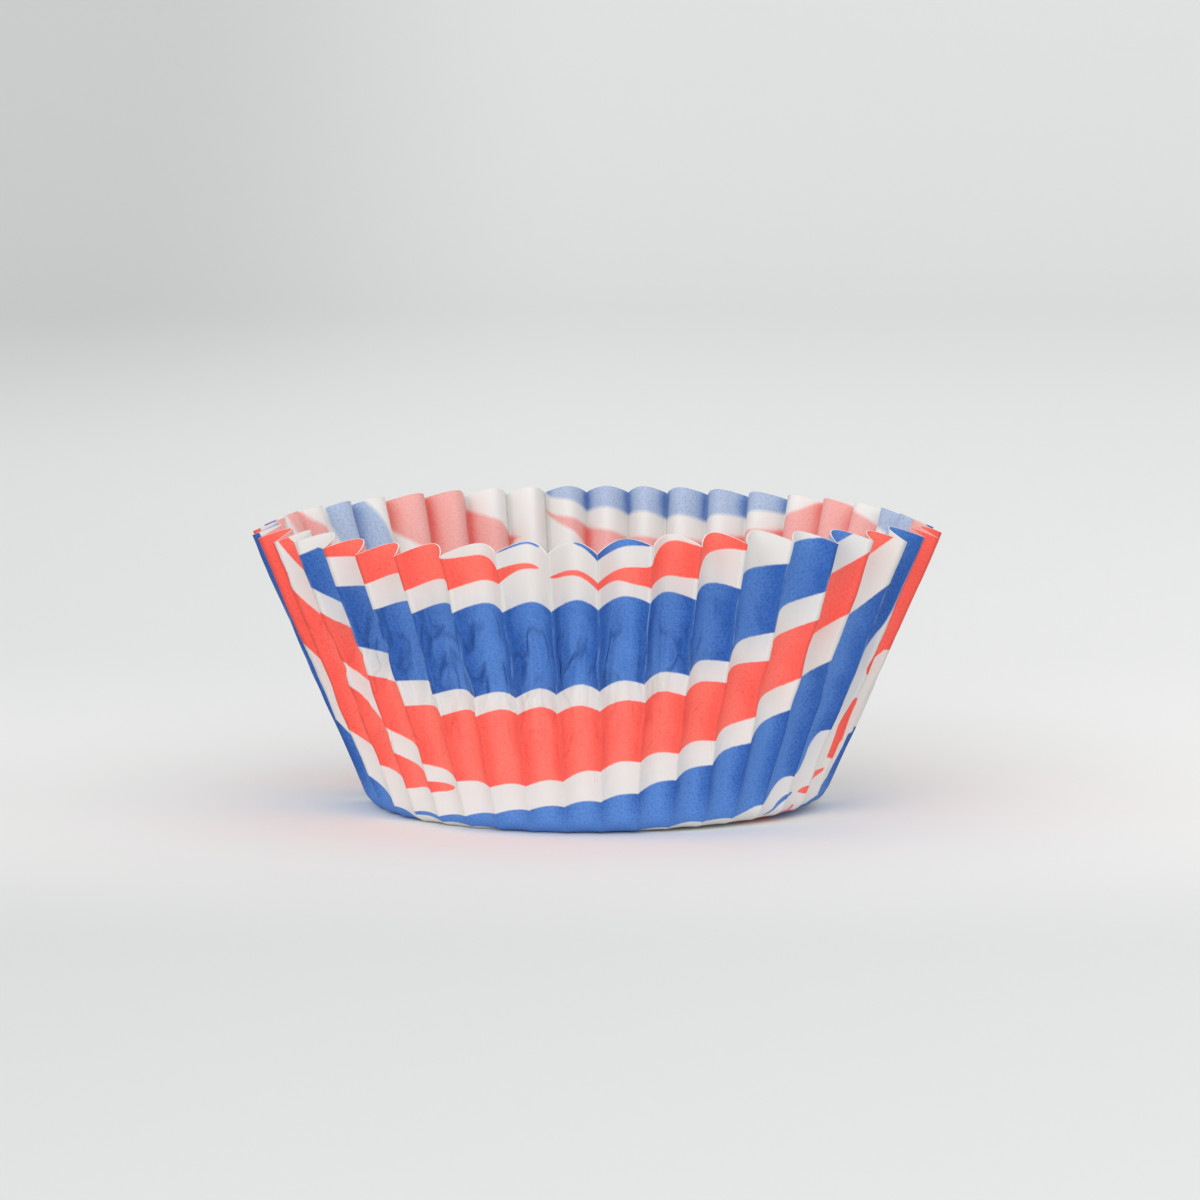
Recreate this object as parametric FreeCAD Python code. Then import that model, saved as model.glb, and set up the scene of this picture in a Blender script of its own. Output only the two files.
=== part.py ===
import FreeCAD, Part
import math
import os
from FreeCAD import Vector

# Fluted baking cup, pressed from one round sheet of greaseproof paper: a flat base, a rounded
# heel and a flared wall whose flutes start at the heel and deepen up to the cut edge.
# The origin is the middle of the base's underside, and +Z is up. The sides of the cup have been
# pushed out, so its rim is longer along X than along Y, and hangs lower at its two far ends.
doc = FreeCAD.newDocument("cupcake_liner")

# Driving dimensions, in millimetres apart from the count
sheet = doc.addObject("Spreadsheet::Sheet", "sizes")
SIZES = [
    ("base_radius", 25.0, "fold line between the flat base and the wall"),
    ("wall_length", 32.5, "from the fold line to the cut edge, measured along the wall"),
    ("rim_half_length", 37.95, "from the middle to a ridge at the rim, along X"),
    ("rim_half_width", 35.2, "from the middle to a ridge at the rim, along Y"),
    ("flute_count", 42, "flutes round the wall"),
    ("flute_depth", 3.2, "from ridge to groove at the rim, square to the wall"),
    ("heel_depth", 0.5, "from ridge to groove at the top of the heel"),
    ("heel_radius", 2.4, "outside rounding between the base and the wall"),
    ("paper_thickness", 0.1, "thickness of the sheet"),
]
for row, (alias, value, note) in enumerate(SIZES, start=1):
    sheet.set(f"A{row}", alias)
    sheet.set(f"B{row}", str(value))
    sheet.set(f"C{row}", note)
    sheet.setAlias(f"B{row}", alias)
doc.recompute()

# Rings of the folded sheet, from the base up, with the depth of the flutes at each
RING_DEPTHS = {
    "base_edge": 0.0,
    "heel_middle": sheet.heel_depth / 2,
    "heel_top": sheet.heel_depth,
    "cut_edge": sheet.flute_depth,
}
RINGS = list(RING_DEPTHS)

FLUTE_COUNT = int(sheet.flute_count)
PITCH = 2 * math.pi / FLUTE_COUNT
# One ridge faces the front, which is -Y
FRONT = -math.pi / 2
# Flat facets across the curve of one flute, an even number
FACETS = 8
OUTSIDE = 0.0
INSIDE = sheet.paper_thickness


def wall_tilt(angle):
    """Angle between the wall's ridge line and the vertical, at an angle round the cup."""
    middle = (sheet.rim_half_length + sheet.rim_half_width) / 2
    swing = (sheet.rim_half_length - sheet.rim_half_width) / 2
    rim_radius = middle + swing * math.cos(2 * angle)
    return math.asin((rim_radius - sheet.base_radius) / sheet.wall_length)


def ridge_line(angle, ring):
    """Radius, height and slope of the ridge line where it crosses a ring. The slope is that of
    the sheet's outward normal: straight down under the base, and nearly level on the wall."""
    tilt = wall_tilt(angle)
    turn = math.pi / 2 - tilt
    # The heel's arc meets the base and the wall at this distance from the fold line
    tangent = sheet.heel_radius * math.tan(turn / 2)
    if ring == "base_edge":
        return sheet.base_radius - tangent, 0.0, -math.pi / 2
    if ring == "heel_middle":
        radius = sheet.base_radius - tangent + sheet.heel_radius * math.sin(turn / 2)
        return radius, sheet.heel_radius * (1 - math.cos(turn / 2)), turn / 2 - math.pi / 2
    length = tangent if ring == "heel_top" else sheet.wall_length
    return sheet.base_radius + length * math.sin(tilt), length * math.cos(tilt), -tilt


def sheet_point(angle, ring, depth):
    """Point of the sheet that lies a depth behind the ridge line, square to the wall."""
    radius, height, slope = ridge_line(angle, ring)
    radius -= depth * math.cos(slope)
    height -= depth * math.sin(slope)
    return Vector(radius * math.cos(angle), radius * math.sin(angle), height)


def ring_points(ring, inset):
    """Points once round a ring. Each flute is half a sine wave between two sharp ridges. The inset
    is measured square to the paper, so a sharp ridge sets its point back further."""
    points = []
    for step in range(FLUTE_COUNT * FACETS):
        share = step % FACETS / FACETS
        angle = FRONT + step / FACETS * PITCH
        radius = ridge_line(angle, ring)[0]
        steepness = math.pi * RING_DEPTHS[ring] / (PITCH * radius) * math.cos(math.pi * share)
        stretch = math.hypot(1.0, steepness)
        if share == 0.0:
            points.append(sheet_point(angle, ring, inset * stretch))
        else:
            depth = RING_DEPTHS[ring] * math.sin(math.pi * share)
            aside = inset * steepness / stretch / radius
            points.append(sheet_point(angle - aside, ring, depth + inset / stretch))
    return points


def facet(*corners):
    """Flat face between corners that lie in one plane."""
    return Part.Face(Part.makePolygon([*corners, corners[0]]))


def band(first, second):
    """Pairs of triangles between two rings. Their diagonals mirror each other in the two halves of
    a flute, so that each flute is alike on both sides."""
    faces = []
    for step in range(len(first)):
        following = (step + 1) % len(first)
        a, b = first[step], first[following]
        c, d = second[step], second[following]
        if step % FACETS < FACETS / 2:
            faces += [facet(a, b, d), facet(a, d, c)]
        else:
            faces += [facet(a, b, c), facet(b, d, c)]
    return faces


def skin(inset):
    """One side of the sheet, from the middle of the base to the cut edge, and that edge."""
    rings = [ring_points(ring, inset) for ring in RINGS]
    faces = [facet(*rings[0])]
    for lower, upper in zip(rings[:-1], rings[1:]):
        faces += band(lower, upper)
    return faces, rings[-1]


# The pleats run between oval rings, which no sketch or pattern of one flute gives, so the solid
# is sewn from its outside, its inside and the cut edge between them
outside_faces, outside_edge = skin(OUTSIDE)
inside_faces, inside_edge = skin(INSIDE)
shell = Part.makeShell(outside_faces + inside_faces + band(outside_edge, inside_edge))
shell.sewShape()
folded_sheet = Part.makeSolid(Part.Shell(shell.Faces))
if folded_sheet.Volume < 0:
    folded_sheet.reverse()

cup = doc.addObject("Part::Feature", "baking_cup")
cup.Label = "baking_cup"
cup.Shape = folded_sheet
cup.Placement = FreeCAD.Placement()
doc.recompute()

for item in doc.Objects:
    if "Invalid" in item.State or "Error" in item.State:
        raise RuntimeError(f"{item.Label} failed: {item.State}")
if cup.Shape.isNull() or not cup.Shape.isValid() or len(cup.Shape.Solids) != 1:
    raise RuntimeError("baking_cup is not one valid solid")

os.makedirs("parts", exist_ok=True)
cup.Shape.exportStep(f"parts/{cup.Label}.step")
print(f"{cup.Label}: {cup.Shape.Volume:.1f} cubic mm, {cup.Shape.BoundBox}")
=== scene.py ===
import math

import bpy
import numpy as np
from mathutils import Euler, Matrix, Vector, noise


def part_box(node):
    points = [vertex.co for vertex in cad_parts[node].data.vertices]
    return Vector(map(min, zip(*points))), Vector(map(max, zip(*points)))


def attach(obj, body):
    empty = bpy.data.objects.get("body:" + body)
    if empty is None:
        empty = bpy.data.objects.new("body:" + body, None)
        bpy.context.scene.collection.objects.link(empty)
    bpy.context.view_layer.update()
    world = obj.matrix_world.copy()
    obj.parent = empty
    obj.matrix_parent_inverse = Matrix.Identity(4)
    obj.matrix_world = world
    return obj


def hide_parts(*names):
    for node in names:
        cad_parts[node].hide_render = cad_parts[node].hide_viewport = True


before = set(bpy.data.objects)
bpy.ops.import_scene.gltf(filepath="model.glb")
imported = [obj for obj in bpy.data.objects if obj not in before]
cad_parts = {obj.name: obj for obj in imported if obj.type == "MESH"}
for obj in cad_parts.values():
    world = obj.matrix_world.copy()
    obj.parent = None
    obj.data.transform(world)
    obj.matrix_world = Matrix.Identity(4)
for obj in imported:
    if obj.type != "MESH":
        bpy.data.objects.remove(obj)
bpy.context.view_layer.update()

# Baking cup, its folds. One round sheet of greaseproof paper is pressed between a fluted punch and
# its die, so it stays one piece: a flat base, a rounded heel and a flared wall of narrow flutes
# that meet in sharp ridges. Its sizes are in millimetres, and its angles start at the front.
MM = 0.001
FLUTES = 42
PITCH = 2 * math.pi / FLUTES
BASE_RADIUS = 25.0
WALL_LENGTH = 32.5
SHEET_RADIUS = BASE_RADIUS + WALL_LENGTH
HEEL_RADIUS = 2.4
PAPER = 0.1
high_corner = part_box("baking_cup")[1]
RIM_HALF_WIDTH = high_corner[1] / MM
RIM_HALF_LENGTH = high_corner[0] / MM / math.cos(PITCH / 2)
DEEPEST_FLUTE = 3.4
# The share of its full depth that a flute reaches, how full its curve is, where 1 is a sine wave,
# and how far the middle of the folded paper lies behind the ridges at the rim
FLUTE_REACH = 0.95
FLUTE_FULLNESS = 0.85
FOLD_SETBACK = 1.2
# The base has turned a little against the rim, and its right side has lifted off the table
BASE_TURN = math.radians(1.1)
BASE_LIFT = math.radians(1.3)
LIFT_STARTS = -4.0

# How far each ridge strays round the rim, in degrees, and up or down there, in millimetres, from
# ridge 0 at the front and on towards the right
RIDGE_STRAYS = [
    0.1, 1.1, 1.0, 0.5, 0.7, 1.6, 1.3, 2.6, 1.4, 2.9, 4.8, 5.2, 5.1, 5.1,
    5.0, 4.9, 4.9, 4.8, 4.4, 3.7, 2.6, 2.0, 1.3, 0.2, -0.1, -0.4, -0.4, -0.1,
    0.2, 0.4, 0.8, 1.0, 1.3, 0.7, 0.2, -0.2, -0.6, -1.4, -1.7, -1.6, -0.3, 0.1,
]
RIDGE_RISES = [
    0.1, 0.9, 0.9, 1.1, 1.2, 0.8, 0.9, 0.45, 0.6, 0.0, 0.0, 0.0, 0.1, 0.2,
    0.2, 0.2, 0.2, 0.2, 0.2, 0.2, 0.2, 0.2, 0.2, 0.2, 0.2, 0.2, 0.2, 0.2,
    0.2, 0.2, 0.1, 0.0, 0.1, 0.2, 0.1, 0.5, 0.1, -0.4, -0.3, -0.2, 0.2, 0.1,
]

# Each ridge bends aside where the paper has been handled, most at one radius of the flat sheet:
# two waves along it, in radians to the millimetre, with how far each wave moves on by the next ridge
WOBBLE = 0.0035
WOBBLE_WAVES = [(0.95, 2.4), (0.4, 5.1)]
WOBBLE_RADIUS = 42.0
WOBBLE_SPREAD = 9.0

# The mesh: columns round the cup, and rings that stand closer together round the heel
COLUMNS_A_FLUTE = 18
BASE_RINGS = 5
HEEL_RINGS = 8
WALL_RINGS = 40
BASE_END = BASE_RADIUS - 1.9
HEEL_START, HEEL_END = BASE_RADIUS - 1.5, BASE_RADIUS + 1.5
WALL_START = BASE_RADIUS + 2.1

# Where each column of the mesh stands: its flute, and its share of the way across that flute
column = np.arange(FLUTES * COLUMNS_A_FLUTE)
flute = column // COLUMNS_A_FLUTE
share = column % COLUMNS_A_FLUTE / COLUMNS_A_FLUTE
strays = np.radians(np.array(RIDGE_STRAYS))
rises = np.array(RIDGE_RISES)
following = (flute + 1) % FLUTES


def across(values):
    """Values given for each ridge, carried evenly across each flute to the next ridge."""
    return values[flute] * (1 - share) + values[following] * share


def column_angles(up_the_wall, wobble):
    """The angle of each column, and the width of its flute, at a height from 0 to 1."""
    ridges = np.arange(FLUTES) * PITCH + BASE_TURN * (1 - up_the_wall) + strays * up_the_wall + wobble
    widths = np.append(np.diff(ridges), ridges[0] + 2 * math.pi - ridges[-1])
    return ridges[flute] + widths[flute] * share, widths[flute]


def wall_tilt(angle):
    """How far the wall leans out from the vertical. The rim is an oval, longest at the sides."""
    middle = (RIM_HALF_LENGTH + RIM_HALF_WIDTH) / 2
    swing = (RIM_HALF_LENGTH - RIM_HALF_WIDTH) / 2
    rim_radius = middle - swing * np.cos(2 * angle)
    return np.arcsin((rim_radius - BASE_RADIUS) / WALL_LENGTH)


def ridge_wobble(flat_radius):
    """How far each ridge bends aside, in radians."""
    ridge = np.arange(FLUTES)
    bend = sum(np.sin(flat_radius * wave + ridge * start) for wave, start in WOBBLE_WAVES)
    return bend * WOBBLE * np.exp(-((flat_radius - WOBBLE_RADIUS) / WOBBLE_SPREAD) ** 2)


def ring_of_sheet(flat_radius):
    """The points of one ring of the sheet's outside, at a radius of the flat sheet."""
    beyond = flat_radius - BASE_RADIUS
    up_the_wall = max(beyond, 0.0) / WALL_LENGTH
    angle, width = column_angles(up_the_wall, ridge_wobble(flat_radius))
    tilt = wall_tilt(angle)
    turn = math.pi / 2 - tilt
    tangent = HEEL_RADIUS * np.tan(turn / 2)
    # The ridge line runs over the flat base, round the heel's arc and straight up the wall
    bend = np.clip((beyond + tangent) / (2 * tangent), 0, 1) * turn
    on_base = np.minimum(flat_radius, BASE_RADIUS - tangent)
    on_wall = np.maximum(beyond - tangent, 0)
    radius = on_base + HEEL_RADIUS * np.sin(bend) + on_wall * np.sin(tilt)
    height = HEEL_RADIUS * (1 - np.cos(bend)) + on_wall * np.cos(tilt)
    # The wall is narrower than its paper, and the flutes take up the difference
    folded_width = (radius - FOLD_SETBACK * up_the_wall) * width
    spare = (flat_radius * PITCH / 2) ** 2 - (folded_width / 2) ** 2
    depth = np.minimum(FLUTE_REACH * np.sqrt(np.maximum(spare, 0)), DEEPEST_FLUTE)
    behind = depth * np.sin(math.pi * share) ** FLUTE_FULLNESS
    radius = radius - behind * np.sin(bend)
    height = height + behind * np.cos(bend)
    points = np.stack([radius * np.sin(angle), -radius * np.cos(angle), height], axis=1)
    points[:, 2] += across(rises) * up_the_wall
    lifted = np.maximum(points[:, 0] - LIFT_STARTS, 0) * math.tan(BASE_LIFT)
    points[:, 2] += lifted * (1 - up_the_wall) ** 2
    return points


def share_of_paper(points):
    """The share of a flute's paper that lies before each column, by length along the ring."""
    step = np.linalg.norm(np.roll(points, -1, axis=0) - points, axis=1)
    step = step.reshape(FLUTES, COLUMNS_A_FLUTE)
    before = np.cumsum(step, axis=1) - step
    return (before / step.sum(axis=1, keepdims=True)).ravel()


flat_radii = np.concatenate([
    np.linspace(0, BASE_END, BASE_RINGS + 1)[1:],
    np.linspace(HEEL_START, HEEL_END, HEEL_RINGS),
    np.linspace(WALL_START, SHEET_RADIUS, WALL_RINGS),
])
outside = np.array([ring_of_sheet(radius) for radius in flat_radii])
flat_angles = np.array([(flute + share_of_paper(ring)) * PITCH for ring in outside])
# Where each point lies on the flat sheet, which the print follows: x to the right, y to the front
flat_places = np.stack([
    flat_radii[:, None] * np.sin(flat_angles),
    flat_radii[:, None] * np.cos(flat_angles),
    np.zeros_like(flat_angles),
], axis=2)

# Sharp creases in the flutes left of the front, as points on the flat sheet
CREASE_WIDTH = 0.45
CREASE_DEPTH = 0.22
CREASES = [
    [(-36.4, 31.2), (-35.5, 29.3)],
    [(-33.9, 38.2), (-33.3, 36.4), (-31.8, 35.5), (-31.2, 33.9)],
    [(-27.8, 42.8), (-26.6, 40.6), (-25.3, 39.5), (-25.2, 37.5)],
    [(-24.6, 41.2), (-25.3, 39.5)],
    [(-23.4, 38.2), (-23.3, 36)],
    [(-19.4, 44.8), (-19.2, 41.8)],
    [(-17.1, 40.6), (-17.3, 38.4)],
    [(-11.4, 42.7), (-11.3, 40.6)],
    [(-6.7, 50.8), (-6.1, 46.6), (-5.6, 42.7)],
    [(-37.5, 23.2), (-37.1, 21.6)],
]
creased = np.zeros(flat_places.shape[:2])
for crease in CREASES:
    for start, finish in zip(crease[:-1], crease[1:]):
        start, finish = np.array(start), np.array(finish)
        run = finish - start
        step = np.clip(((flat_places[..., :2] - start) @ run) / (run @ run), 0, 1)
        gap = np.linalg.norm(flat_places[..., :2] - start - step[..., None] * run, axis=2)
        creased = np.maximum(creased, np.exp(-((gap / CREASE_WIDTH) ** 2)))

# The paper is not quite even: ripples in waves to the millimetre, with their height
RIPPLES = [(0.16, 0.22), (0.5, 0.06)]
# Handling has pinched it in upright lines round one radius of the flat sheet, most between two
# angles left of the front: waves to the degree and to the millimetre, thinness and depth
PINCH_RADIUS = 43.0
PINCH_SPREAD = 7.0
PINCHED_FROM, PINCHED_TO = -62.0, 14.0
PINCH_ELSEWHERE = 0.25
PINCHES_ROUND, PINCHES_OUTWARD = 0.55, 0.13
PINCH_LAYER = 7.0
PINCH_THINNESS = 3.2
PINCH_DEPTH = 0.42
# The heel keeps its shape: unevenness starts this far out on the wall and is full further on
EVEN_UP_TO = BASE_RADIUS + 1.0
UNEVEN_OVER = 6.0

for ring, radius in enumerate(flat_radii):
    on_wall = min(max((radius - EVEN_UP_TO) / UNEVEN_OVER, 0.0), 1.0)
    in_ring = math.exp(-((radius - PINCH_RADIUS) / PINCH_SPREAD) ** 2)
    for c in range(outside.shape[1]):
        u, v, _ = flat_places[ring, c]
        ripple = sum(noise.noise((u * wave, v * wave, layer)) * height
                     for layer, (wave, height) in enumerate(RIPPLES, start=1))
        turned = math.degrees(math.atan2(u, v))
        handled = in_ring * (1.0 if PINCHED_FROM < turned < PINCHED_TO else PINCH_ELSEWHERE)
        off_line = abs(noise.noise((turned * PINCHES_ROUND, radius * PINCHES_OUTWARD, PINCH_LAYER)))
        pinch = max(1 - off_line * PINCH_THINNESS, 0) ** 3
        ripple -= handled * pinch * PINCH_DEPTH + creased[ring, c] * CREASE_DEPTH
        level = math.hypot(outside[ring, c, 0], outside[ring, c, 1])
        if level > 0:
            outside[ring, c, :2] *= 1 + on_wall * ripple / level

# Each point of the inside lies one thickness of paper behind the outside
along = np.roll(outside, -1, axis=1) - np.roll(outside, 1, axis=1)
upward = np.gradient(outside, axis=0)
normals = np.cross(along, upward)
normals /= np.linalg.norm(normals, axis=2, keepdims=True)
inside = outside - normals * PAPER

rings, columns = outside.shape[:2]
centre_lift = -LIFT_STARTS * math.tan(BASE_LIFT)
skins = rings * columns
points = np.concatenate([
    outside.reshape(-1, 3),
    inside.reshape(-1, 3),
    [[0, 0, centre_lift], [0, 0, centre_lift + PAPER]],
])
places = np.concatenate([flat_places.reshape(-1, 3), flat_places.reshape(-1, 3), np.zeros((2, 3))])

# The sheet has a material for each side and one for its cut edge
OUTSIDE, INSIDE, CUT_EDGE = range(3)
faces = []
face_sides = []
for ring in range(rings - 1):
    for c in range(columns):
        n = (c + 1) % columns
        a, b = ring * columns + c, ring * columns + n
        faces.append((a, b, b + columns, a + columns))
        faces.append((skins + a, skins + a + columns, skins + b + columns, skins + b))
        face_sides += [OUTSIDE, INSIDE]
rim = (rings - 1) * columns
for c in range(columns):
    n = (c + 1) % columns
    faces.append((rim + c, rim + n, skins + rim + n, skins + rim + c))
    faces.append((n, c, 2 * skins))
    faces.append((skins + c, skins + n, 2 * skins + 1))
    face_sides += [CUT_EDGE, OUTSIDE, INSIDE]

cup_mesh = bpy.data.meshes.new("folded_paper")
cup_mesh.from_pydata((points * MM).tolist(), [], faces)
cup_mesh.polygons.foreach_set("material_index", face_sides)
cup_mesh.polygons.foreach_set("use_smooth", [True] * len(faces))
flat_sheet = cup_mesh.attributes.new("flat_sheet", "FLOAT_VECTOR", "POINT")
flat_sheet.data.foreach_set("vector", places.ravel())
# How near each point is to a ridge or to a drawn crease: 1 on it, and 0 where it is far. The paper's
# materials paint shade along the ridges and in the creases from these.
ridge_nearness = np.append(np.tile(np.abs(2 * share - 1), 2 * rings), [0.0, 0.0])
crease_nearness = np.concatenate([creased.ravel(), creased.ravel(), [0.0, 0.0]])
for name, values in (("near_ridge", ridge_nearness), ("creased", crease_nearness)):
    cup_mesh.attributes.new(name, "FLOAT", "POINT").data.foreach_set("value", values)
# The cut edge is square, so the shading breaks along both its sides
edge_ends = np.zeros(len(cup_mesh.edges) * 2, dtype=np.int32)
cup_mesh.edges.foreach_get("vertices", edge_ends)
at_outer_rim = (edge_ends >= rim) & (edge_ends < skins)
at_inner_rim = (edge_ends >= skins + rim) & (edge_ends < 2 * skins)
at_rim = at_outer_rim | at_inner_rim
cup_mesh.edges.foreach_set("use_edge_sharp", at_rim.reshape(-1, 2).all(axis=1))
cup_mesh.update()
cup = bpy.data.objects.new("paper_cup", cup_mesh)
bpy.context.scene.collection.objects.link(cup)
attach(cup, "root")
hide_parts("baking_cup")

# Baking cup, its print. The flat sheet is printed with curved red and blue stripes before it is
# folded. Each stripe is a field between two drawn lines, given as points in millimetres on the
# flat sheet: x to the right, y to the front, or angle in degrees and distance from the middle.

# Lines run from side to side over this half width, or from the first angle to the last. Where a
# stripe's first line is at BEYOND, off the sheet, the stripe has ended, and where only its second
# line is there, the stripe runs on over the edge.
HALF_SPAN = 60.0
FIRST_ANGLE, LAST_ANGLE = 50.0, 310.0
BEYOND = 70.0
OFF_SHEET = [(-HALF_SPAN, BEYOND), (HALF_SPAN, BEYOND)]
OFF_SHEET_ROUND = [(FIRST_ANGLE, BEYOND), (LAST_ANGLE, BEYOND)]

RED_STRIPES = [
    # Middle band, right round the front
    ([(-60, 24.2), (-53, 21.5), (-50, 21.4), (-48, 21.4), (-44, 21.2), (-38, 21.8), (-34, 22.2),
      (-28.5, 22.7), (-24, 23.5), (-18, 25.2), (-15, 26.5), (-10, 28.8), (-5, 30.8), (0, 32.4), (5, 32.8),
      (9, 32.6), (13, 32.1), (17, 31.4), (24, 31), (31, 30.8), (38.5, 30.7), (50, 30), (60, 29)],
     [(-60, 25.5), (-54, 24.4), (-50, 24.2), (-42.5, 24.8), (-39, 25.5), (-33.5, 26.6), (-29.8, 28),
      (-27, 29), (-21.8, 31.9), (-15, 35.8), (-7, 38.5), (0, 39.5), (5, 39.6), (9, 39.3), (13, 38.7),
      (20, 37.4), (26, 36.3), (33.5, 35.8), (40, 35.3), (44.3, 35.1), (60, 34.6)]),
    # Inner band on the left
    ([(-60, 8), (-44.5, 9.9), (-38, 11.4), (-33, 12.8), (-29, 14.2), (-27, 15.8), (-24, 17.3),
      (-22.1, 18.8), (-21.2, 20), (-19.6, 21.5), (-18, 22.9), (-17.4, 24.5), (-16, BEYOND)],
     [(-60, 23.9), (-53, 21), (-50, 19.9), (-48, 19.1), (-44.4, 19.4), (-39, 20.1), (-34, 20.4),
      (-30.5, 20.2), (-26.5, 20.8), (-22.5, 21.7), (-19.6, 22.9), (-18, 23.7), (-17.4, 24)]),
    # Band at the rim on the left
    ([(-60, 28), (-45, 34.8), (-41.5, 37), (-37, 39.5), (-33.7, 42.3), (-30.3, 44), (-25, 47.4),
      (-20, 49.5), (-17, 50.9), (-15.8, 51.7), (-13.8, 52.7), (-10.8, 53.8), (-9, 56), (-7, BEYOND)],
     [(-60, BEYOND), (-28, 53), (-25, 51.6), (-22.3, 51.9), (-20, 52.5), (-17, 53.1), (-13.8, 53.6),
      (-10.8, 53.9), (-9, 54)]),
    # Band at the rim on the right
    ([(-11, BEYOND), (-9, 56), (-7.7, 54.1), (-4.6, 53.7), (0, 53.4), (3.1, 53.1), (5, 52.4), (8, 52.3),
      (11, 51.8), (14, 51.5), (21.5, 51.6), (25, 51.1), (40, 49)],
     [(-9, 54), (-7.7, 54.3), (0, 54.3), (3.8, 54.2), (6, 54.3), (7.7, 54.6), (8.8, 55.2), (12.3, 55.4),
      (16.2, 55), (20, 54.6), (40, BEYOND)]),
    # Two thin leaves near the heel on the right
    ([(21.5, BEYOND), (23, 14.8), (24.9, 12.6), (27.6, 11.2), (29, BEYOND)],
     [(21.5, 14.7), (23, 14.9), (24.9, 13.9), (26.6, 12.3), (27.6, 11.3), (29, 10)]),
    ([(19.5, BEYOND), (20.5, 13.4), (21.8, 13.9), (23, BEYOND)],
     [(19.5, 13), (20.5, 13.7), (21.8, 14.2), (23, 14)]),
    # Stripes on the left of the back
    ([(-60, -50), (-23, -50.4), (-17, -50.2), (-13, -50.3), (-11, BEYOND)],
     [(-60, -44), (-40, -41.6), (-37, -40), (-30, -40), (-22, -43.5), (-16, -48), (-13, -50.3)]),
    ([(-60, -22.5), (-52, -23), (-48, -24.5), (-40, -22.5), (-30, -22), (-20, -24.5), (-10, -29.5),
      (0, -34), (12, -36), (20, -35), (24, BEYOND)],
     [(-60, -15), (-54, -15.5), (-45, -15), (-30, -14.5), (-20, -17), (-10, -22), (0, -27.5), (12, -32.5),
      (20, -35)]),
    ([(-60, -9.5), (-48, -5.5), (-38, -2.6), (-36, BEYOND)],
     [(-60, -3.5), (-48, -2.4), (-38, -2.4)]),
    # Field across the base
    ([(-14, BEYOND), (-12, 11.5), (0, 8.5), (10, 7), (18, 9), (22, 13), (23, BEYOND)],
     [(-12, 11.6), (0, 12.5), (10, 15), (15, 16.4), (18, 15.6), (20, 14.4), (22, 12)]),
]
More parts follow.
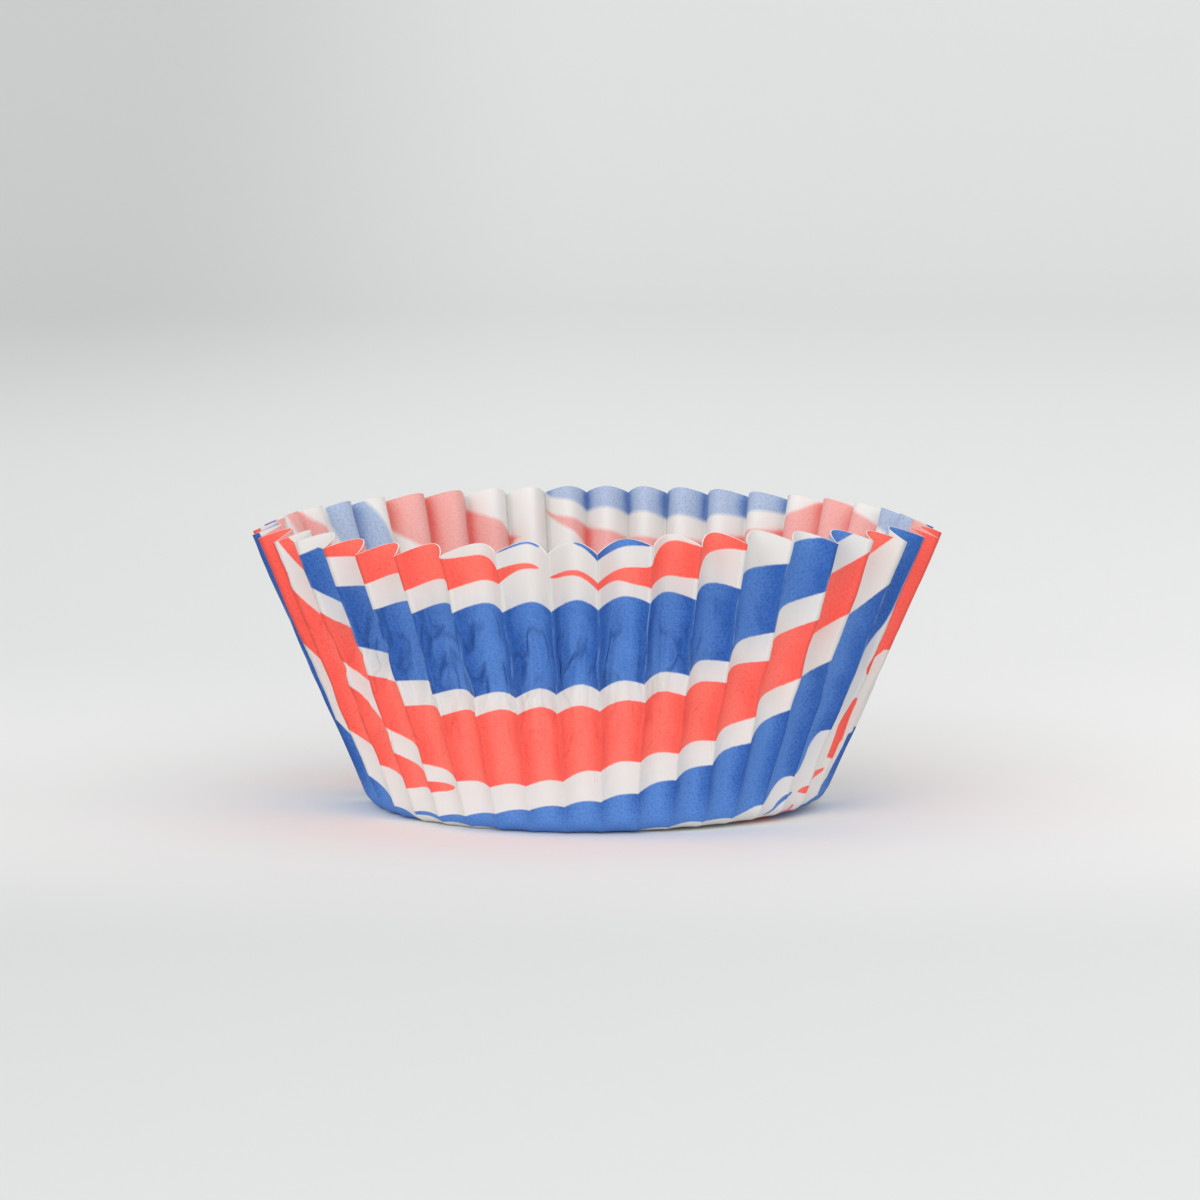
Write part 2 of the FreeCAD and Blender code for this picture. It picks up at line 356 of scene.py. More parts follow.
BLUE_STRIPES = [
    # Broad band, right round the front
    ([(-60, 22), (-50, 25.4), (-44.5, 26.3), (-42, 27), (-36.3, 28.6), (-33, 29.8), (-29, 31.2),
      (-25, 33.1), (-18, 36.8), (-14, 38.3), (-10, 39.8), (-5, 41.2), (0, 41.8), (5, 41.7), (9, 41.5),
      (13, 41), (20, 39.8), (27, 39.1), (35.5, 38.2), (43, 37.7), (60, 37)],
     [(-60, 25), (-48, 29.8), (-41.7, 33), (-39, 34.8), (-34.8, 37.4), (-31.5, 40), (-28.8, 41.8),
      (-23.5, 45.1), (-20, 46.8), (-15, 48.5), (-10, 49.9), (-5, 50.8), (0, 51.2), (5, 51), (9, 50.4),
      (15, 49.3), (20, 48.2), (25, 46.6), (31.5, 45.4), (36, 44), (42, 42), (60, 38)]),
    # Band at the heel
    ([(-24, BEYOND), (-20.8, 16), (-18.5, 17.4), (-15.5, 19.4), (-13, 20.7), (-11, 21), (-8, 19),
      (-5, 17), (2, 20.5), (5, 23.6), (8, 23.5), (10.9, 22.9), (12.4, 21.9), (14.1, 21.2), (15.7, 20.4),
      (17.6, 20.1), (19.6, 19.3), (21.6, 19.4), (23, 19), (24.7, 17), (26.2, 17.3), (27.7, 17.9),
      (29.3, 18.2), (30.5, 17.5), (32.8, 16.3), (35.2, 15.8), (37.3, 16.3), (39.6, 17), (42, 17.5),
      (44.3, 17.8), (50, 19.8), (54, 21.3), (60, 23.6)],
     [(-22, 14), (-20.5, 16.5), (-18.5, 18.4), (-16.2, 20.8), (-13.8, 23), (-10, 25.6), (-6, 27.4),
      (-2, 28.5), (5, 29.3), (9, 29.6), (13, 29.3), (20, 28.6), (26, 28.1), (31, 27.6), (40, 26.6),
      (45.5, 26.3), (60, 25)]),
    # Band on the far left, which runs on under the base
    ([(-60, 0), (-45, 0.5), (-38, 0), (-30, -1.5), (-20, -1), (-10, -3), (0, -6), (10, -10), (22, -13),
      (26, BEYOND)],
     [(-60, 5), (-45, 6.2), (-35, 8), (-31, 9.3), (-28.3, 10.6), (-24.5, 12.1), (-22, 13.9),
      (-20.4, 14.4), (-15, 12), (-5, 8), (5, 4), (15, -3), (22, -11)]),
    # Two lines along the rim in front
    ([(-6, BEYOND), (-4.6, 57.3), (-2, 56.95), (0, 56.8), (4, 56.5), (6.5, 56.7), (8.3, 57),
      (9.5, BEYOND)],
     OFF_SHEET),
    ([(-19, BEYOND), (-17, 54.95), (-15, 55.3), (-13, 55.8), (-10.8, 56.5), (-9, BEYOND)],
     OFF_SHEET),
    # Thin line near the heel on the right
    ([(16.5, BEYOND), (17.7, 17), (18.9, 16.7), (20.1, 17), (21, 17), (22.6, 15.6), (24, BEYOND)],
     [(16.5, 17), (17.7, 17.2), (18.9, 17.1), (20.3, 17.5), (21.3, 17.5), (22.6, 15.9), (24, 15)]),
    # Stripes on the left of the back
    ([(-60, -36), (-45, -37.8), (-41, -37.5), (-36, -35.5), (-28, -34.5), (-20, -36.5), (-12, -40.5),
      (-2, -44.5), (6, -45.5), (10, BEYOND)],
     [(-60, -31), (-50, -30.5), (-46.5, -29), (-40, -27.5), (-30, -27.5), (-20, -31), (-10, -37),
      (0, -43), (6, -45.5)]),
    ([(-60, -14.3), (-54, -14.2), (-45, -11.5), (-30, -10), (-20, -12), (-10, -16.5), (5, -24.5),
      (16, -27.5), (24, -26), (28, BEYOND)],
     [(-60, -12), (-45, -7.5), (-30, -4.5), (-20, -5), (-10, -8.5), (5, -16), (16, -22), (24, -26)]),
]
# Stripes that follow the rim over the right and the back of the sheet, drawn by angle
RED_ARCS = [
    ([(50, BEYOND), (66.3, BEYOND), (66.8, 31.6), (67.4, 31), (69, 31), (75, 32.2), (75.6, 34),
      (76.1, BEYOND)],
     [(50, 30), (66.3, 31), (66.8, 33), (67.4, 35.8), (68.2, 38.4), (75, 38.2), (75.6, 36.4),
      (76.1, 33)]),
    ([(50, BEYOND), (64, 52), (66, 48), (67.5, 44), (68.3, 41.2), (70, 41), (75.2, 42.6), (77, 44),
      (82, 44), (90, 44.5), (105, 45.5), (120, 47.5), (135, 47), (150, 46), (165, 45.5), (175, 47.5),
      (181, 51), (184, 52.5), (188, 55), (191, 58), (200, BEYOND)],
     [(50, BEYOND), (84, BEYOND), (90, 58), (94, 55.5), (98, 54.3), (104, 53.8), (108, 54.5), (114, 56),
      (120, 57.2), (128, 57.8), (133, 55.5), (138, 53.8), (147, 52.6), (155, 51.8), (165, 51.7),
      (174, 52.2), (180, 53.3), (186, 54.4), (189, 55.8), (191, 57.5), (200, 60)]),
]
BLUE_ARCS = [
    ([(50, BEYOND), (54, 23.6), (60, 21), (66, 21.5), (72, 22.5), (76, 23), (85, 25), (95, 28), (110, 32),
      (130, 36), (150, 38.5), (165, 40), (176, 41.5), (182, BEYOND)],
     [(50, 23), (57, 24.2), (62, 24.6), (66, 25), (68, 26.3), (71, 26.8), (74.6, 27.4), (75.6, 28.6),
      (76.3, 33.4), (79, 34.2), (85, 33.8), (95, 34.5), (110, 37), (130, 40), (150, 42), (165, 42.5),
      (176, 41.5)]),
    ([(90, BEYOND), (92, 58.5), (95, 56.5), (98, 55.3), (104, 54.8), (108, 55.5), (113, 57.5),
      (116, BEYOND)],
     OFF_SHEET_ROUND),
    ([(128, BEYOND), (133, 58), (136, 56.2), (141, 55.4), (147, 54.9), (155, 54.3), (164, 54.5),
      (170, 54.8), (176, 55.1), (180, 55.3), (184, 55.9), (188, 57.3), (192, BEYOND)],
     OFF_SHEET_ROUND),
]
# Ink is missing where the rim was bent over and torn on the left
BARE_ARC = (
    [(50, BEYOND), (291.5, BEYOND), (293, 57), (295.5, 56.1), (299, 56), (303, 56.4), (304.5, 57.2),
     (306, BEYOND)],
    OFF_SHEET_ROUND,
)
# On the right the red arcs stay behind this line
RED_FRONT = [
    (-60, -BEYOND), (20, -BEYOND), (24, 9.9), (29, 12.7), (35, 15.3), (38.6, 15.6), (42.9, 16.9),
    (45, 17.8), (48.7, 19.3), (52, 20.6), (60, 23.7),
]

# The border of the ink wanders this far to each side, in this many waves to the millimetre
INK_WANDER = 0.04
INK_WAVES = 2.2


def add(tree, kind, **settings):
    """A new node, with its settings."""
    node = tree.nodes.new(kind)
    for name, value in settings.items():
        setattr(node, name, value)
    return node


def calculate(tree, operation, *values, clamp=False):
    """A Math node's output. Each value is a number or another node's output."""
    node = add(tree, "ShaderNodeMath", operation=operation, use_clamp=clamp)
    for socket, value in zip(node.inputs, values):
        if isinstance(value, (int, float)):
            socket.default_value = value
        else:
            tree.links.new(value, socket)
    return node.outputs[0]


def drawn_line(tree, position, first, last, line):
    """The height of a drawn line at a position along it. The curve holds values from 0 to 1."""
    curve = add(tree, "ShaderNodeFloatCurve")
    drawn = curve.mapping.curves[0].points
    inner = [point for point in line if first < point[0] < last]
    ends = [(first, line[0][1])] + inner + [(last, line[-1][1])]
    while len(drawn) < len(ends):
        drawn.new(0.5, 0.5)
    for point, (x, y) in zip(drawn, ends):
        point.location = ((x - first) / (last - first), (y + BEYOND) / (2 * BEYOND))
        point.handle_type = "AUTO_CLAMPED"
    curve.mapping.update()
    length = last - first
    span = calculate(tree, "MULTIPLY_ADD", position, 1 / length, -first / length, clamp=True)
    tree.links.new(span, curve.inputs["Value"])
    return calculate(tree, "MULTIPLY_ADD", curve.outputs[0], 2 * BEYOND, -BEYOND)


def print_group():
    """The whole print, as one mask for each ink, from the place on the flat sheet."""
    tree = bpy.data.node_groups.new("striped_print", "ShaderNodeTree")
    tree.interface.new_socket("Flat Sheet", in_out="INPUT", socket_type="NodeSocketVector")
    tree.interface.new_socket("Softness", in_out="INPUT", socket_type="NodeSocketFloat")
    for ink in ("Red", "Blue"):
        tree.interface.new_socket(ink, in_out="OUTPUT", socket_type="NodeSocketFloat")
    start = add(tree, "NodeGroupInput")
    end = add(tree, "NodeGroupOutput")
    ragged = add(tree, "ShaderNodeTexNoise", noise_dimensions="2D")
    ragged.inputs["Scale"].default_value = INK_WAVES
    tree.links.new(start.outputs["Flat Sheet"], ragged.inputs["Vector"])
    wander = calculate(tree, "MULTIPLY_ADD", ragged.outputs[0], 2 * INK_WANDER, -INK_WANDER)
    parts = add(tree, "ShaderNodeSeparateXYZ")
    tree.links.new(start.outputs["Flat Sheet"], parts.inputs[0])
    x = calculate(tree, "ADD", parts.outputs["X"], wander)
    y = calculate(tree, "ADD", parts.outputs["Y"], wander)
    x_squared = calculate(tree, "MULTIPLY", x, x)
    y_squared = calculate(tree, "MULTIPLY", y, y)
    radius = calculate(tree, "SQRT", calculate(tree, "ADD", x_squared, y_squared))
    # Angles run from the front by way of the right and the back, on to the last one
    turned = calculate(tree, "ARCTAN2", x, y)
    past_last = calculate(tree, "LESS_THAN", turned, math.radians(LAST_ANGLE - 360))
    whole = calculate(tree, "MULTIPLY_ADD", past_last, 2 * math.pi, turned)
    angle = calculate(tree, "DEGREES", whole)

    def soft_side(greater, lesser):
        """1 where the first value is the greater, with a soft edge as wide as Softness."""
        gap = calculate(tree, "SUBTRACT", greater, lesser)
        gap = calculate(tree, "DIVIDE", gap, start.outputs["Softness"])
        return calculate(tree, "ADD", gap, 0.5, clamp=True)

    def field(position, height, first, last, stripe):
        """1 between the two lines of a stripe."""
        lower, upper = stripe
        above = soft_side(height, drawn_line(tree, position, first, last, lower))
        below = soft_side(drawn_line(tree, position, first, last, upper), height)
        return calculate(tree, "MULTIPLY", above, below)

    bare = field(angle, radius, FIRST_ANGLE, LAST_ANGLE, BARE_ARC)
    covered = calculate(tree, "SUBTRACT", 1.0, bare)
    for ink, stripes, arcs in (("Red", RED_STRIPES, RED_ARCS), ("Blue", BLUE_STRIPES, BLUE_ARCS)):
        fields = [field(x, y, -HALF_SPAN, HALF_SPAN, stripe) for stripe in stripes]
        round_fields = [field(angle, radius, FIRST_ANGLE, LAST_ANGLE, arc) for arc in arcs]
        if ink == "Red":
            front = soft_side(drawn_line(tree, x, -HALF_SPAN, HALF_SPAN, RED_FRONT), y)
            back = calculate(tree, "LESS_THAN", y, 0.0)
            allowed = calculate(tree, "MAXIMUM", front, back)
            round_fields = [calculate(tree, "MULTIPLY", part, allowed) for part in round_fields]
        mask = fields[0]
        for part in fields[1:] + round_fields:
            mask = calculate(tree, "MAXIMUM", mask, part)
        tree.links.new(calculate(tree, "MULTIPLY", mask, covered), end.inputs[ink])
    return tree


striped_print = print_group()

# Baking cup, its paper. The sheet is thin, white and slightly glossy, and the inks soak into it:
# the outside shows them full, with a fine mottle, and the inside shows them faintly from behind.


def linear(red, green, blue):
    """A colour given from 0 to 255 as it looks, as the light that it reflects."""
    values = []
    for part in (red, green, blue):
        part /= 255
        values.append(part / 12.92 if part <= 0.04045 else ((part + 0.055) / 1.055) ** 2.4)
    return (*values, 1.0)


# The darker second colours of each ink serve both the ink's real mottle and the painted shade along the
# ridges
OUTSIDE_INKS = {
    "paper": linear(224, 221, 218),
    "red": linear(253, 120, 106),
    "mottled_and_shaded_red": linear(248, 91, 79),
    "blue": linear(87, 135, 205),
    "mottled_and_shaded_blue": linear(36, 88, 168),
}
INSIDE_INKS = {
    "paper": linear(236, 234, 230),
    "red": linear(240, 179, 173),
    "mottled_and_shaded_red": linear(242, 140, 131),
    "blue": linear(180, 196, 220),
    "mottled_and_shaded_blue": linear(112, 148, 203),
}
# Pale blue of worn ink along the ridges, which also serves as a painted highlight there
WORN_AND_LIT_BLUE = linear(142, 178, 232)
EDGE_WHITE = linear(238, 235, 233)

# Each grain: waves to the millimetre, detail and roughness
MOTTLE = (3.6, 3.0, 0.7)
CLOUDS = (0.3, 2.0, 0.6)
SPECKS = (3.6, 1.0, 0.5)
FIBRES = (6.0, 4.0, 0.65)
# The gain and offset that stretch a grain, which stays near a half, into what it draws
MOTTLE_LEVELS = (4.6, -2.05)
SPECK_LEVELS = (9.0, -5.9)
WRINKLED_LEVELS = (4.0, -1.4)
WORN_LEVELS = (5.0, -2.0)
RIDGE_SHADE_LEVELS = (0.5, -0.25)
# Fine wrinkles that run up the wall: waves to the radian round the sheet and to the millimetre
# outwards, detail, distortion and thinness
WRINKLES_ROUND, WRINKLES_OUTWARD = 17.0, 0.17
WRINKLE_DETAIL = 1.0
WRINKLE_DISTORTION = 0.2
WRINKLE_THINNESS = 15.0
# Where the wrinkles rise and where they fade, by radius in millimetres and by angle in radians
WRINKLES_START, WRINKLES_STOP = (27.0, 39.0), (53.0, 46.0)
WRINKLES_LEFT, WRINKLES_RIGHT = (-1.6, -1.1), (0.75, 0.1)


def smooth_step(tree, value, low, high):
    """0 below the low value, 1 above the high one, and a smooth rise between them."""
    node = add(tree, "ShaderNodeMapRange", interpolation_type="SMOOTHSTEP")
    tree.links.new(value, node.inputs["Value"])
    node.inputs["From Min"].default_value = low
    node.inputs["From Max"].default_value = high
    return node.outputs["Result"]


def product(tree, first, *others):
    """All the values, multiplied."""
    for other in others:
        first = calculate(tree, "MULTIPLY", first, other)
    return first


def paper_grain_group():
    """The ink's mottle, specks and clouds and the paper's fibres and wrinkles, each from 0 to 1,
    from the place on the flat sheet."""
    tree = bpy.data.node_groups.new("paper_grain", "ShaderNodeTree")
    tree.interface.new_socket("Flat Sheet", in_out="INPUT", socket_type="NodeSocketVector")
    for name in ("Mottle", "Specks", "Fibres", "Clouds", "Wrinkles"):
        tree.interface.new_socket(name, in_out="OUTPUT", socket_type="NodeSocketFloat")
    start = add(tree, "NodeGroupInput")
    end = add(tree, "NodeGroupOutput")
    sheet = start.outputs["Flat Sheet"]

    def grain(waves, detail, roughness):
        texture = add(tree, "ShaderNodeTexNoise", noise_dimensions="3D")
        texture.inputs["Scale"].default_value = waves
        texture.inputs["Detail"].default_value = detail
        texture.inputs["Roughness"].default_value = roughness
        tree.links.new(sheet, texture.inputs["Vector"])
        return texture.outputs[0]

    clouds = grain(*CLOUDS)
    specks = calculate(tree, "MULTIPLY_ADD", grain(*SPECKS), *SPECK_LEVELS, clamp=True)
    tree.links.new(grain(*MOTTLE), end.inputs["Mottle"])
    tree.links.new(specks, end.inputs["Specks"])
    tree.links.new(grain(*FIBRES), end.inputs["Fibres"])
    tree.links.new(clouds, end.inputs["Clouds"])

    # A wrinkle lies where a wandering level, drawn out up the wall, passes a half
    parts = add(tree, "ShaderNodeSeparateXYZ")
    tree.links.new(sheet, parts.inputs[0])
    turned = calculate(tree, "ARCTAN2", parts.outputs["X"], parts.outputs["Y"])
    distance = add(tree, "ShaderNodeVectorMath", operation="LENGTH")
    tree.links.new(sheet, distance.inputs[0])
    radius = distance.outputs["Value"]
    spread = add(tree, "ShaderNodeCombineXYZ")
    tree.links.new(calculate(tree, "MULTIPLY", turned, WRINKLES_ROUND), spread.inputs["X"])
    tree.links.new(calculate(tree, "MULTIPLY", radius, WRINKLES_OUTWARD), spread.inputs["Y"])
    level = add(tree, "ShaderNodeTexNoise", noise_dimensions="3D")
    level.inputs["Scale"].default_value = 1.0
    level.inputs["Detail"].default_value = WRINKLE_DETAIL
    level.inputs["Distortion"].default_value = WRINKLE_DISTORTION
    tree.links.new(spread.outputs["Vector"], level.inputs["Vector"])
    off_line = calculate(tree, "ABSOLUTE", calculate(tree, "SUBTRACT", level.outputs[0], 0.5))
    line = calculate(tree, "MULTIPLY_ADD", off_line, -WRINKLE_THINNESS, 1.0, clamp=True)
    at_height = product(tree, smooth_step(tree, radius, *WRINKLES_START),
                        smooth_step(tree, radius, *WRINKLES_STOP))
    on_side = product(tree, smooth_step(tree, turned, *WRINKLES_LEFT),
                      smooth_step(tree, turned, *WRINKLES_RIGHT))
    in_patch = calculate(tree, "MULTIPLY_ADD", clouds, *WRINKLED_LEVELS, clamp=True)
    tree.links.new(product(tree, at_height, on_side, in_patch, line), end.inputs["Wrinkles"])
    return tree


paper_grain = paper_grain_group()


def mix(tree, factor, first, second):
    """A Mix node between two colours, each a colour or another node's output. Its inputs 0, 6 and 7
    are the factor and the colours, and its output 2 is a colour."""
    node = add(tree, "ShaderNodeMix", data_type="RGBA")
    for socket, value in ((node.inputs[0], factor), (node.inputs[6], first), (node.inputs[7], second)):
        if isinstance(value, (tuple, float)):
            socket.default_value = value
        else:
            tree.links.new(value, socket)
    return node.outputs[2]


def darkened(colour, share=0.6):
    """A colour that reflects only a share of its light."""
    return (*(part * share for part in colour[:3]), 1.0)


# Ink is painted darker in wide uneven bands along the ridges, which start above the heel: this is painted
# shade where the flutes turn away from the light, on both sides of the paper. The ink is also deeper in
# its mottle and darker in its specks, and painted shade darkens it in the creases and wrinkles.
RIDGE_SHADE_START = (24.5, 31.0)
RIDGE_SHADE_DEPTH = 0.8
MOTTLE_DEPTH = 0.5
SPECK_DARKNESS = 0.85
CREASE_SHADE = (0.3, 1.0)
WRINKLE_PAINTED_SHADE = 0.65
# Blue is worn off at the fold in patches of a thin line along each ridge, high on the wall, and this pale
# line is also a painted highlight where the sharp ridge catches the light
WORN_RIDGE = (0.955, 0.99)
WORN_START = (38.0, 41.0)
# The wet blue ink has drawn the paper in, so it wrinkles more there. Heights are shares of the
# bump's distance.
WRINKLE_HEIGHT = -0.4
EXTRA_IN_BLUE = -0.6
FIBRE_HEIGHT = 0.08
BUMP_DISTANCE = 0.3 * MM


def printed_paper(name, inks, softness, ridge_shade_from, worn_and_lit, creased):
    """Paper printed with both inks. The painted shade along the ridges begins at one nearness to them,
    and the last two numbers say how much the worn ridge lines with their painted highlight show, and how
    much the specks and the painted shade in creases and wrinkles show."""
    material = bpy.data.materials.new(name)
    material.use_nodes = True
    tree = material.node_tree
    shader = tree.nodes["Principled BSDF"]
    sheet = add(tree, "ShaderNodeAttribute", attribute_name="flat_sheet")
    ridge = add(tree, "ShaderNodeAttribute", attribute_name="near_ridge")
    crease = add(tree, "ShaderNodeAttribute", attribute_name="creased")
    printed = add(tree, "ShaderNodeGroup", node_tree=striped_print)
    printed.inputs["Softness"].default_value = softness
    tree.links.new(sheet.outputs["Vector"], printed.inputs["Flat Sheet"])
    grain = add(tree, "ShaderNodeGroup", node_tree=paper_grain)
    tree.links.new(sheet.outputs["Vector"], grain.inputs["Flat Sheet"])
    distance = add(tree, "ShaderNodeVectorMath", operation="LENGTH")
    tree.links.new(sheet.outputs["Vector"], distance.inputs[0])
    radius = distance.outputs["Value"]

    # Painted shade: darker ink in uneven bands along each ridge, added to the ink's own mottle
    uneven = calculate(tree, "MULTIPLY_ADD", grain.outputs["Clouds"], *RIDGE_SHADE_LEVELS)
    near = calculate(tree, "ADD", ridge.outputs["Fac"], uneven)
    painted_ridge_shade = product(tree, smooth_step(tree, near, ridge_shade_from, 1.0),
                     smooth_step(tree, radius, *RIDGE_SHADE_START))
    mottled = calculate(tree, "MULTIPLY_ADD", grain.outputs["Mottle"], *MOTTLE_LEVELS, clamp=True)
    ridge_shade_and_mottle = calculate(tree, "ADD", product(tree, painted_ridge_shade, RIDGE_SHADE_DEPTH),
                     product(tree, mottled, MOTTLE_DEPTH), clamp=True)
    # Painted shade in the drawn creases and the wrinkles, which are also real dents and bumps in the mesh
    # and the bump
    painted_crease_shade = smooth_step(tree, crease.outputs["Fac"], *CREASE_SHADE)
    painted_wrinkle_shade = product(tree, grain.outputs["Wrinkles"], WRINKLE_PAINTED_SHADE)
    painted_crease_and_wrinkle_shade = calculate(tree, "MAXIMUM", painted_crease_shade, painted_wrinkle_shade)

    dark_red = darkened(inks["mottled_and_shaded_red"])
    dark_blue = darkened(inks["mottled_and_shaded_blue"])
    specks = product(tree, grain.outputs["Specks"], SPECK_DARKNESS * creased)
    red_ink = mix(tree, ridge_shade_and_mottle, inks["red"], inks["mottled_and_shaded_red"])
    red_ink = mix(tree, specks, red_ink, dark_red)
    # Painted shade of the creases and wrinkles darkens the red a little and the blue more
    red_ink = mix(tree, product(tree, painted_crease_and_wrinkle_shade, creased / 2), red_ink, dark_red)
    blue_ink = mix(tree, ridge_shade_and_mottle, inks["blue"], inks["mottled_and_shaded_blue"])
    blue_ink = mix(tree, product(tree, painted_crease_and_wrinkle_shade, creased), blue_ink, dark_blue)
    colour = mix(tree, printed.outputs["Red"], inks["paper"], red_ink)
    colour = mix(tree, printed.outputs["Blue"], colour, blue_ink)

    # A pale line along each high ridge: worn blue ink with a painted highlight
    worn_and_lit_ridge = smooth_step(tree, ridge.outputs["Fac"], *WORN_RIDGE)
    patchy = calculate(tree, "MULTIPLY_ADD", grain.outputs["Clouds"], *WORN_LEVELS, clamp=True)
    high_up = smooth_step(tree, radius, *WORN_START)
    patchy = product(tree, patchy, high_up, printed.outputs["Blue"])
    colour = mix(tree, product(tree, worn_and_lit_ridge, patchy, worn_and_lit), colour, WORN_AND_LIT_BLUE)
    tree.links.new(colour, shader.inputs["Base Color"])
    shader.inputs["Roughness"].default_value = 0.6
    shader.inputs["Specular IOR Level"].default_value = 0.3

    bump = add(tree, "ShaderNodeBump")
    bump.inputs["Strength"].default_value = 0.7
    bump.inputs["Distance"].default_value = BUMP_DISTANCE
    folds = calculate(tree, "MULTIPLY_ADD", printed.outputs["Blue"], EXTRA_IN_BLUE, WRINKLE_HEIGHT)
    fibres = product(tree, grain.outputs["Fibres"], FIBRE_HEIGHT)
    height = calculate(tree, "MULTIPLY_ADD", grain.outputs["Wrinkles"], folds, fibres)
    tree.links.new(height, bump.inputs["Height"])
    tree.links.new(bump.outputs["Normal"], shader.inputs["Normal"])
    return material


# In the order of the sheet's sides: outside, inside and cut edge
cup_mesh.materials.append(printed_paper(
    "printed_outside", OUTSIDE_INKS, softness=0.16, ridge_shade_from=0.25, worn_and_lit=0.45, creased=0.6))
cup_mesh.materials.append(printed_paper(
    "print_seen_through_paper", INSIDE_INKS, softness=0.5, ridge_shade_from=0.55, worn_and_lit=0.0, creased=0.08))
cut_edge = bpy.data.materials.new("cut_edge")
cut_edge.use_nodes = True
cut_edge.node_tree.nodes["Principled BSDF"].inputs["Base Color"].default_value = EDGE_WHITE
cut_edge.node_tree.nodes["Principled BSDF"].inputs["Roughness"].default_value = 0.8
cup_mesh.materials.append(cut_edge)

# Table and backdrop: one wide sheet of matt pale card that lies flat under the cup and curves up
# far behind it. Its sizes are in metres.
SWEEP_START = 0.9
SWEEP_RADIUS = 0.5
SWEEP_STEPS = 24
CARD_HALF_WIDTH = 1.6
CARD_FRONT = -1.6
CARD_TOP = 1.8
profile = [(CARD_FRONT, 0.0)]
for step in range(SWEEP_STEPS + 1):
    turn = math.pi / 2 * step / SWEEP_STEPS
    profile.append((SWEEP_START + SWEEP_RADIUS * math.sin(turn), SWEEP_RADIUS * (1 - math.cos(turn))))
profile.append((SWEEP_START + SWEEP_RADIUS, CARD_TOP))
card_points = [(side * CARD_HALF_WIDTH, y, z) for y, z in profile for side in (-1, 1)]
card_faces = [(2 * i, 2 * i + 1, 2 * i + 3, 2 * i + 2) for i in range(len(profile) - 1)]
card_mesh = bpy.data.meshes.new("card")
card_mesh.from_pydata(card_points, [], card_faces)
card_mesh.polygons.foreach_set("use_smooth", [True] * len(card_faces))
card = bpy.data.objects.new("card", card_mesh)
bpy.context.scene.collection.objects.link(card)

# The card's colour holds painted light and shade: it is painted palest round and just behind the cup, as
# painted light against the cup's shadow, and greyest far back on the left and towards the left, as
# painted shade. Each area has the distances from the cup's middle over which it comes in, and how much it
# adds to the grey.
PALE_CARD = linear(247, 248, 247)
GREY_CARD = linear(192, 196, 195)
GREY_IN_FRONT = 0.469
BEHIND, BEHIND_PAINTED_LIGHT = (0.0, 0.15), -0.285
FAR_BACK, FAR_BACK_PAINTED_LIGHT = (0.1, 0.5), -0.085
FARTHEST, FARTHEST_PAINTED_SHADE = (0.5, 1.0), 0.13
FRONT_OF_CUP, BACK_OF_CUP, CUP_PAINTED_LIGHT = (-0.1, -0.01), (0.15, 0.03), -0.33
LEFT_SIDE, LEFT_BACK, FAR_LEFT_PAINTED_SHADE = (0.0, -0.14), (0.05, 0.9), 0.4
PAINTED_SHADE_TO_LEFT = -1.25

card_paint = bpy.data.materials.new("card_with_painted_light_and_shade")
card_paint.use_nodes = True
card_tree = card_paint.node_tree
card_shader = card_tree.nodes["Principled BSDF"]
card_shader.inputs["Roughness"].default_value = 0.9
card_shader.inputs["Specular IOR Level"].default_value = 0.1
place = add(card_tree, "ShaderNodeTexCoord")
spot = add(card_tree, "ShaderNodeSeparateXYZ")
card_tree.links.new(place.outputs["Object"], spot.inputs[0])
to_right, to_back = spot.outputs["X"], spot.outputs["Y"]
# Painted light paler round and behind the cup, and painted shade greyer on the left and farthest back
behind = smooth_step(card_tree, to_back, *BEHIND)
far_back = smooth_step(card_tree, to_back, *FAR_BACK)
farthest = smooth_step(card_tree, to_back, *FARTHEST)
painted_light_round_cup = product(card_tree, smooth_step(card_tree, to_back, *FRONT_OF_CUP),
                    smooth_step(card_tree, to_back, *BACK_OF_CUP))
painted_shade_far_left = product(card_tree, smooth_step(card_tree, to_right, *LEFT_SIDE),
                   smooth_step(card_tree, to_back, *LEFT_BACK))
painted_shade_to_left = product(card_tree, to_right, PAINTED_SHADE_TO_LEFT, calculate(card_tree, "SUBTRACT", 1.0, far_back))
grey = calculate(card_tree, "ADD", painted_shade_to_left, GREY_IN_FRONT)
for area, added in ((behind, BEHIND_PAINTED_LIGHT), (far_back, FAR_BACK_PAINTED_LIGHT), (farthest, FARTHEST_PAINTED_SHADE),
                    (painted_light_round_cup, CUP_PAINTED_LIGHT), (painted_shade_far_left, FAR_LEFT_PAINTED_SHADE)):
    grey = calculate(card_tree, "MULTIPLY_ADD", area, added, grey)
grey = calculate(card_tree, "MINIMUM", calculate(card_tree, "MAXIMUM", grey, 0.0), 1.0)
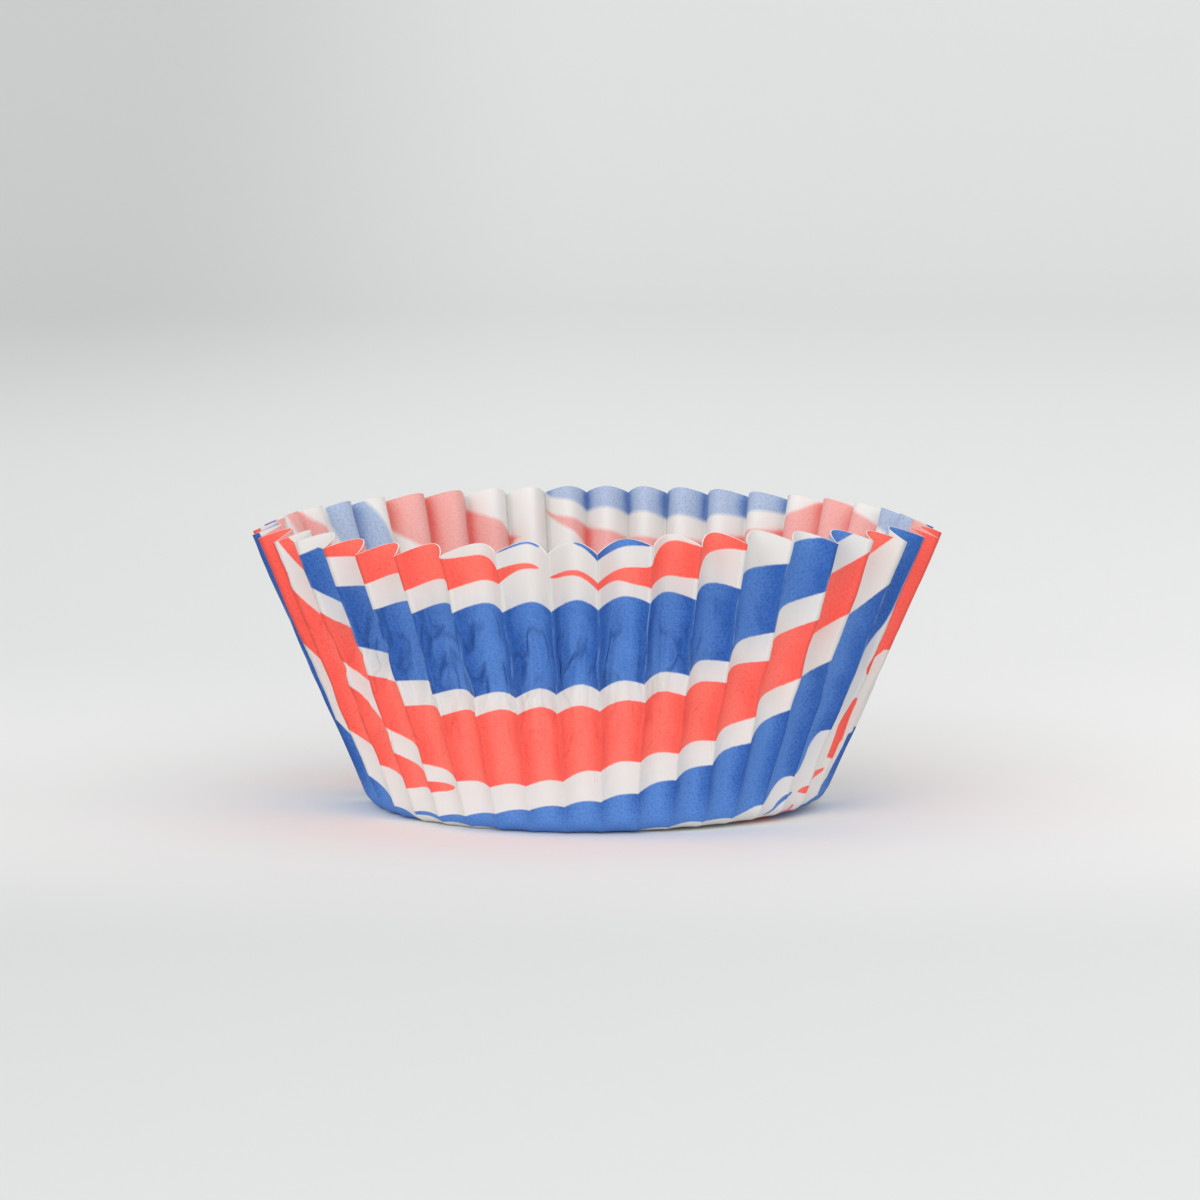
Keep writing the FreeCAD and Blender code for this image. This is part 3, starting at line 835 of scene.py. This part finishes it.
card_tree.links.new(mix(card_tree, grey, PALE_CARD, GREY_CARD), card_shader.inputs["Base Color"])
card_mesh.materials.append(card_paint)

# Light: two wide soft lamps in front, one to each side of the camera and the left one stronger,
# and an even white sky that fills the shadows. Places and sizes are in metres.
SKY_STRENGTH = 0.86
LAMP_SIZE = 0.7
AIM = (0, 0, 0.015)
world = bpy.data.worlds.new("soft_sky")
world.use_nodes = True
world.node_tree.nodes["Background"].inputs["Color"].default_value = (1.0, 1.0, 1.0, 1.0)
world.node_tree.nodes["Background"].inputs["Strength"].default_value = SKY_STRENGTH
bpy.context.scene.world = world


def add_lamp(name, place, watts):
    """A square soft lamp that points at the cup."""
    light = bpy.data.lights.new(name, "AREA")
    light.shape = "SQUARE"
    light.size = LAMP_SIZE
    light.energy = watts
    lamp = bpy.data.objects.new(name, light)
    lamp.location = place
    aside, ahead, up = [target - own for target, own in zip(AIM, place)]
    tip = math.atan2(math.hypot(aside, ahead), -up)
    lamp.rotation_euler = Euler((tip, 0, math.atan2(-aside, ahead)))
    bpy.context.scene.collection.objects.link(lamp)


add_lamp("window_left", (-0.42, -0.9, 0.36), 3.2)
add_lamp("window_right", (0.25, -0.96, 0.36), 1.8)

# Camera: at the photograph's height and distance, a little above the rim and looking slightly
# down, with a long lens. Its sizes are in metres, and its lens and sensor in millimetres.
CAMERA_DISTANCE = 0.6435
CAMERA_HEIGHT = 0.093
CAMERA_SIDE = 0.00035
CAMERA_PITCH = math.radians(6.26)
SENSOR_WIDTH = 36.0
LENS = 176.5
camera_data = bpy.data.cameras.new("camera")
camera_data.sensor_width = SENSOR_WIDTH
camera_data.lens = LENS
camera = bpy.data.objects.new("camera", camera_data)
camera.location = (CAMERA_SIDE, -CAMERA_DISTANCE, CAMERA_HEIGHT)
camera.rotation_euler = Euler((math.pi / 2 - CAMERA_PITCH, 0, 0))
bpy.context.scene.collection.objects.link(camera)
bpy.context.scene.camera = camera
bpy.context.scene.view_settings.view_transform = "Standard"
